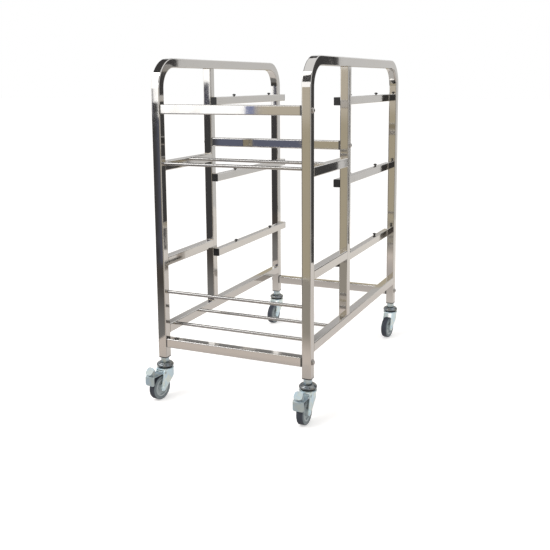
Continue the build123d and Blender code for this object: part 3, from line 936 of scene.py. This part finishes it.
class TROLLEY_OT_forks(bpy.types.Operator):
    """Press the forks, and make their axle bolts and nuts"""
    bl_idname = "trolley.forks"
    bl_label = "Castor forks"

    def execute(self, context):
        look = context.scene.trolley_castors
        # Painted shade on the fork above its crown, in the shaded gap under the head.
        plate = zinc("zinc_fork", look.fork, roughness=0.34, metallic=0.6, gap_shade_heights=(0.0940, 0.0944))
        steel = bolt_steel("plain_steel", look.bush, roughness=0.2)
        for corner in CORNERS:
            self.fork(corner, plate, look.fork_bend)
            self.axle(corner, plate)
            dress("castor_bush_" + corner, steel, "plain_steel")
        return {"FINISHED"}

    def fork(self, corner, finish, bend):
        """Round the corners where the crown is pressed down into the legs, then ease the other edges."""
        node = "castor_fork_" + corner
        work = node_copy(node)
        local = castor_place(corner).inverted()
        straight = local.to_3x3()
        legs_top, crown_foot, near = 0.06, 0.08, 0.0003
        places = [local @ vert.co for vert in work.verts]
        outer = max(abs(place.x) for place in places if place.z < legs_top)
        pressed = []
        for edge in sharp_edges(work, 60.0):
            start, end = (vert.co for vert in edge.verts)
            middle = local @ ((start + end) / 2)
            along = straight @ (end - start)
            at_side = abs(abs(middle.x) - outer) < near and middle.z > crown_foot
            if at_side and abs(along.y) > 0.9 * along.length:
                pressed.append(edge)
        ease(work, pressed, bend, segments=4)
        ease(work, sharp_edges(work, 40.0), 0.0004, segments=2)
        show_copy(work, node, "_pressed", finish, "zinc_plate", 30.0)

    def axle(self, corner, finish):
        """Axle bolt with a low round head on the right, and its chamfered nut on the left."""
        node = "castor_axle_" + corner
        local = axle_place(corner).inverted()
        reaches = [(local @ vert.co).z for vert in NODES[node].data.vertices]
        tip, top = min(reaches), max(reaches)
        shank, head, cheek, nut_tall = 0.004, 0.0075, top - 0.0032, 0.0065
        bolt = turned("axle_bolt_one", [
            (shank - 0.0006, tip, 0), (shank, tip + 0.0007, 0.0002), (shank, cheek, 0), (head, cheek, 0.0003),
            (head, cheek + 0.0016, 0.0012), (head * 0.55, top - 0.0001, 0.003), (0.0003, top, 0)])
        flats, tilt = 0.013, math.tan(math.radians(30))
        low, high = -cheek - nut_tall, -cheek
        nut = lofted("axle_nut_one", [
            ring(shank, low + 0.0004), ring(shank + 0.0005, low), ring(flats / 2, low),
            hexagon(flats, low, -tilt), hexagon(flats, high), ring(shank, high)], closed=True)
        for name, mesh in (("axle_bolt_", bolt), ("axle_nut_", nut)):
            placed(name + corner, mesh, axle_place(corner), finish, "zinc_plate", "fork_" + corner, node)


class TROLLEY_OT_wheels(bpy.types.Operator):
    """Make the wheel centres and the tyres"""
    bl_idname = "trolley.wheels"
    bl_label = "Wheels"

    def execute(self, context):
        look = context.scene.trolley_castors
        plastic = moulded("wheel_plastic", look.wheel, roughness=0.22)
        rubber = tyre_rubber(look.shaded_tread, look.wall)
        for corner in CORNERS:
            wheel, tyre = "castor_wheel_" + corner, "castor_tyre_" + corner
            placed("wheel_centre_" + corner, self.centre(), axle_place(corner), plastic, "wheel_plastic",
                   "wheel_" + corner, wheel)
            placed("tyre_made_" + corner, self.tyre(tyre, look.mould_line), axle_place(corner), rubber,
                   "grey_rubber", "wheel_" + corner, tyre)
        return {"FINISHED"}

    def centre(self):
        """Hub, dished web and rim of the wheel, with a raised ring on the web."""
        bore, hub, rim, seat = 0.00605, 0.011, 0.0229, 0.0270
        hub_end, web, web_ring, rim_end = 0.0142, 0.0046, 0.0054, 0.0100
        half = [(bore, hub_end, 0.0004), (hub, hub_end, 0.001), (hub + 0.0002, web, 0.0014),
                (0.0150, web - 0.0001, 0.0008), (0.0156, web_ring, 0.0005), (0.0180, web_ring, 0.0005),
                (0.0186, web - 0.0001, 0.0008), (rim - 0.0005, web, 0.0014), (rim, rim_end, 0.0007),
                (seat, rim_end, 0.0002)]
        return turned("wheel_centre_one", mirrored(half), count=96, closed=True)

    def tyre(self, node, groove):
        """Tyre with round shoulders, two fine grooves by its mould line and a step on each side wall."""
        low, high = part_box(node)
        outer, inner, half, shoulder = (high.z - low.z) / 2, 0.02705, 0.011, 0.004
        side = [(inner, half - 0.0008, 0.0003), (inner + 0.0016, half - 0.0004, 0.0003),
                (inner + 0.0020, half, 0.0004), (outer, half, shoulder), (outer, 0.0011, 0.0002),
                (outer - groove, 0.0008, 0.0001), (outer, 0.0004, 0.0002)]
        mesh = turned("tyre_one", mirrored(side), count=96, closed=True)
        flanks = mesh.attributes.new("lit_side_wall", "FLOAT", "POINT")
        flanks.data.foreach_set("value", [self.lit_side_wall(vert.co.z, half) for vert in mesh.vertices])
        return mesh

    def lit_side_wall(self, height, half):
        """1 on the side walls and 0 on the rolling face, with a soft border at the shoulder: the share of the
        paler wall colour, which is painted light.
        """
        border, softness = half - 0.0022, 0.0018
        return max(0.0, min(1.0, (abs(height) - border) / softness))


class TROLLEY_OT_brakes(bpy.types.Operator):
    """Finish the brake levers of the front castors and their pins"""
    bl_idname = "trolley.brakes"
    bl_label = "Brake levers"

    def execute(self, context):
        look = context.scene.trolley_castors
        pedal = zinc("pedal_zinc", look.pedal, roughness=0.46, metallic=0.5)
        pin = zinc("zinc_pin", look.zinc, roughness=0.24)
        for corner in BRAKED:
            dress("brake_lever_" + corner, pedal, "pedal_zinc", softness=0.0005)
            dress("brake_pin_" + corner, pin, "zinc_plate", softness=0.0003)
        return {"FINISHED"}


# The studio

def card(name, corners, colour, fade=None):
    """A studio card that only shows in reflections; it may fade to a second colour along an axis."""
    mesh = bpy.data.meshes.new(name)
    mesh.from_pydata(corners, [], [tuple(range(len(corners)))])
    f = Finish(name)
    tint = rgba(colour)
    if fade:
        axis, start, end, second = fade
        tint = f.mixed(f.along(axis).ramp(start, end), tint, rgba(second))
    f.end(f.add("ShaderNodeEmission", {}, {"Color": tint, "Strength": 1.0}))
    mesh.materials.append(f.owner)
    panel = bpy.data.objects.new(name, mesh)
    bpy.context.scene.collection.objects.link(panel)
    panel.visible_camera = False
    panel.visible_diffuse = False
    panel.visible_shadow = False
    panel.visible_transmission = False


def wall(name, start, end, low, high, colour, fade=None):
    """A standing card between two places on the floor plan."""
    (x0, y0), (x1, y1) = start, end
    card(name, [(x0, y0, low), (x1, y1, low), (x1, y1, high), (x0, y0, high)], colour, fade)


def apron(name, outline, colour, fade=None):
    """A card that lies just above the floor."""
    card(name, [(x, y, 0.002) for x, y in outline], colour, fade)


class TROLLEY_OT_stage(bpy.types.Operator):
    """Set up the floor, the soft light, the reflected cards and the camera"""
    bl_idname = "trolley.stage"
    bl_label = "Studio"

    def execute(self, context):
        look = context.scene.trolley_stage
        self.make_floor(look)
        self.make_world(context, look)
        self.make_lamp(look)
        self.make_front_cards()
        self.make_other_cards()
        self.make_camera(context, look)
        context.scene.view_settings.view_transform = "Standard"
        return {"FINISHED"}

    def make_floor(self, look):
        """Pale floor: white to the camera; in reflections it glows with a painted tint that is darker near
        the trolley, a painted shadow that polished steel shows.
        """
        f = Finish("pale_floor")
        drift = f.noise(f.place(), 1.3, 3.0)
        plain = f.mixed(drift, rgba(look.floor), rgba(look.floor, 0.985))
        away = f.add("ShaderNodeVectorMath", {"operation": "LENGTH"}, {0: f.place()}, "Value")
        # Painted shadow: for reflections the floor glows darker near the trolley and paler farther off.
        under, back, far = (0.57, 0.53, 0.505), (0.80, 0.75, 0.71), (0.90, 0.86, 0.81)
        mirrored_floor_shade = f.mixed(away.ramp(0.5, 1.1), rgba(under), rgba(BARE_FLOOR))
        mirrored_floor_shade = f.mixed(f.along("Y").ramp(-0.4, 0.15), mirrored_floor_shade, rgba(back))
        mirrored_floor_shade = f.mixed(away.ramp(1.0, 1.9), mirrored_floor_shade, rgba(far))
        paint = f.add("ShaderNodeBsdfDiffuse", {}, {"Color": plain})
        glow = f.add("ShaderNodeEmission", {}, {"Color": (1, 1, 1, 1), "Strength": 0.42})
        lit = f.add("ShaderNodeAddShader", {}, {0: paint, 1: glow})
        mirrored = f.add("ShaderNodeEmission", {}, {"Color": mirrored_floor_shade, "Strength": 1.0})
        seen = f.add("ShaderNodeLightPath", {}, {}, "Is Camera Ray")
        glossy = f.add("ShaderNodeLightPath", {}, {}, "Is Glossy Ray")
        choice = f.add("ShaderNodeMixShader", {}, {0: glossy, 1: paint, 2: mirrored})
        f.end(f.add("ShaderNodeMixShader", {}, {0: seen, 1: choice, 2: lit}))
        mesh = bpy.data.meshes.new("floor")
        reach = 40.0
        corners = [(-reach, -reach, 0), (reach, -reach, 0), (reach, reach, 0), (-reach, reach, 0)]
        mesh.from_pydata(corners, [], [(0, 1, 2, 3)])
        mesh.materials.append(f.owner)
        floor = bpy.data.objects.new("floor", mesh)
        bpy.context.scene.collection.objects.link(floor)

    def make_world(self, context, look):
        f = Finish("studio_air", world=True)
        seen = f.add("ShaderNodeLightPath", {}, {}, "Is Camera Ray")
        mirrored = f.add("ShaderNodeLightPath", {}, {}, "Is Glossy Ray")
        through = f.add("ShaderNodeLightPath", {}, {}, "Is Transmission Ray")
        shown = (seen + mirrored + through).clamped()
        strength = look.room_light + shown * (1.0 - look.room_light)
        air = f.add("ShaderNodeBackground", {}, {"Color": (1, 1, 1, 1), "Strength": strength})
        f.add("ShaderNodeOutputWorld", {}, {"Surface": air})
        context.scene.world = f.owner

    def make_lamp(self, look):
        data = bpy.data.lights.new("soft_lamp", "AREA")
        data.shape = "RECTANGLE"
        data.size, data.size_y = 2.4, 1.8
        data.energy = look.lamp_power
        lamp = bpy.data.objects.new("soft_lamp", data)
        bpy.context.scene.collection.objects.link(lamp)
        lamp.location = (-1.6, -2.2, 2.9)
        lamp.rotation_mode = "QUATERNION"
        lamp.rotation_quaternion = (Vector((0, 0, 0.4)) - lamp.location).to_track_quat("-Z", "Y")

    def make_front_cards(self):
        """What the faces that look forward mirror: a dark room, a blue cloth, a beige wall and soft boxes."""
        y, farther = -2.0, -2.05
        wall("dark_wall_left", (-5.0, y), (-1.25, y), 0.0, 0.79, DARK)
        wall("blue_wall", (-1.25, y), (-0.66, y), 0.0, 0.79, DARK, ("X", -1.25, -1.19, (0.155, 0.168, 0.235)))
        wall("dark_edge", (-1.33, y), (-1.254, y), 0.79, 0.97, (0.09, 0.09, 0.12))
        wall("dark_step", (-1.254, y), (-1.212, y), 0.79, 0.87, DARK)
        wall("blue_edge", (-0.715, y), (-0.66, y), 0.79, 1.0, (0.30, 0.34, 0.55))
        wall("beige_wall", (-0.66, y), (0.7, y), 0.0, 1.05, BEIGE, ("Z", 0.72, 0.82, (0.665, 0.60, 0.49)))
        wall("dark_wall_right", (0.7, y), (2.6, y), 0.0, 1.4, DARK)
        wall("high_dark_wall", (-0.66, y), (2.6, y), 1.6, 3.2, DARK)
        wall("soft_box", (-5.0, farther), (-0.66, farther), 0.79, 3.4, (1.7, 1.7, 1.7))
        wall("soft_box_low", (-0.66, farther), (2.6, farther), 1.05, 1.6, (1.5, 1.5, 1.5))
        apron("dark_apron_left", [(-5.0, -2.0), (-0.6, -2.0), (-0.55, -0.9), (-0.7, -0.55), (-0.75, 0.5),
                                  (-5.0, 0.5)], BROWN, ("Y", -1.75, -0.85, (0.235, 0.23, 0.225)))
        apron("brown_apron", [(-0.55, -1.98), (0.7, -1.98), (0.7, -0.85), (-0.5, -0.85)], (0.40, 0.37, 0.32),
              ("Y", -1.2, -0.9, BARE_FLOOR))
        apron("dark_apron_right", [(0.7, -1.98), (2.6, -1.98), (2.6, -1.4), (0.7, -1.4)], BROWN)
        ceiling = [(-4.0, -1.75, 3.3), (-0.9, -1.75, 3.3), (-0.9, 4.0, 3.3), (-4.0, 4.0, 3.3)]
        card("dark_ceiling", ceiling, DARK)

    def make_other_cards(self):
        """What the faces that look up and to the sides mirror."""
        wall("dark_wall_back", (0.95, 1.5), (3.4, 1.5), 0.0, 2.5, DARK)
        wall("dark_edge_back", (0.85, 1.5), (0.95, 1.5), 0.16, 2.5, DARK)
        wall("dark_strip_back", (0.788, 1.5), (0.808, 1.5), 0.12, 1.03, DARK,
             ("Z", 0.1, 0.45, (0.12, 0.115, 0.11)))
        wall("grey_wall_back", (0.0, 3.0), (4.5, 3.0), 0.0, 1.6, (0.74, 0.73, 0.715))
        wall("grey_wall_high", (-3.0, 3.0), (0.0, 3.0), 0.9, 1.75, (0.57, 0.56, 0.55),
             ("Z", 1.3, 1.55, (0.21, 0.205, 0.20)))
        wall("dark_wall_far_left", (-3.0, -1.0), (-3.0, 2.2), 0.0, 0.85, DARK)
        wall("beige_wall_behind", (-3.0, 2.2), (0.3, 2.2), 0.0, 0.75, BEIGE)

    def make_camera(self, context, look):
        yaw, pitch, roll = look.camera_yaw, look.camera_pitch, look.camera_roll
        forward = Vector((-math.sin(yaw) * math.cos(pitch), math.cos(yaw) * math.cos(pitch),
                          -math.sin(pitch)))
        right = Vector((math.cos(yaw), math.sin(yaw), 0.0))
        above = right.cross(forward)
        x_axis = right * math.cos(roll) + above * math.sin(roll)
        y_axis = above * math.cos(roll) - right * math.sin(roll)
        turn = Matrix((x_axis, y_axis, -forward)).transposed()
        data = bpy.data.cameras.new("photo_camera")
        data.sensor_width = 36.0
        data.lens = look.camera_lens
        data.shift_x, data.shift_y = look.camera_shift
        data.clip_start, data.clip_end = 0.05, 100.0
        camera = bpy.data.objects.new("photo_camera", data)
        bpy.context.scene.collection.objects.link(camera)
        camera.matrix_world = Matrix.Translation(Vector(look.camera_place)) @ turn.to_4x4()
        context.scene.camera = camera


class TROLLEY_PT_panel(bpy.types.Panel):
    """Lists the trolley's pieces and settings"""
    bl_idname = "TROLLEY_PT_panel"
    bl_label = "Bussing trolley"
    bl_space_type = "VIEW_3D"
    bl_region_type = "UI"
    bl_category = "Trolley"

    def draw(self, context):
        layout = self.layout
        for group in SETTINGS:
            settings = getattr(context.scene, group)
            box = layout.box()
            for name in settings.bl_rna.properties.keys():
                if name not in ("rna_type", "name"):
                    box.prop(settings, name)
        for operator in STEPS:
            layout.operator(operator.bl_idname)


STEPS = (
    TROLLEY_OT_stage, TROLLEY_OT_tubes, TROLLEY_OT_rods, TROLLEY_OT_runners, TROLLEY_OT_studs,
    TROLLEY_OT_fasteners, TROLLEY_OT_welds, TROLLEY_OT_castor_mounts, TROLLEY_OT_forks,
    TROLLEY_OT_wheels, TROLLEY_OT_brakes,
)
SETTINGS = {
    "trolley_frame": TrolleyFrameSettings,
    "trolley_fasteners": TrolleyFastenerSettings,
    "trolley_castors": TrolleyCastorSettings,
    "trolley_stage": TrolleyStageSettings,
}


def register():
    for group in (*SETTINGS.values(), *STEPS, TROLLEY_PT_panel):
        bpy.utils.register_class(group)
    for name, group in SETTINGS.items():
        setattr(bpy.types.Scene, name, PointerProperty(type=group))


def unregister():
    for name in SETTINGS:
        delattr(bpy.types.Scene, name)
    for group in (TROLLEY_PT_panel, *reversed(STEPS), *SETTINGS.values()):
        bpy.utils.unregister_class(group)


def main():
    register()
    for operator in STEPS:
        section, name = operator.bl_idname.split(".")
        getattr(getattr(bpy.ops, section), name)()


if __name__ == "__main__":
    main()
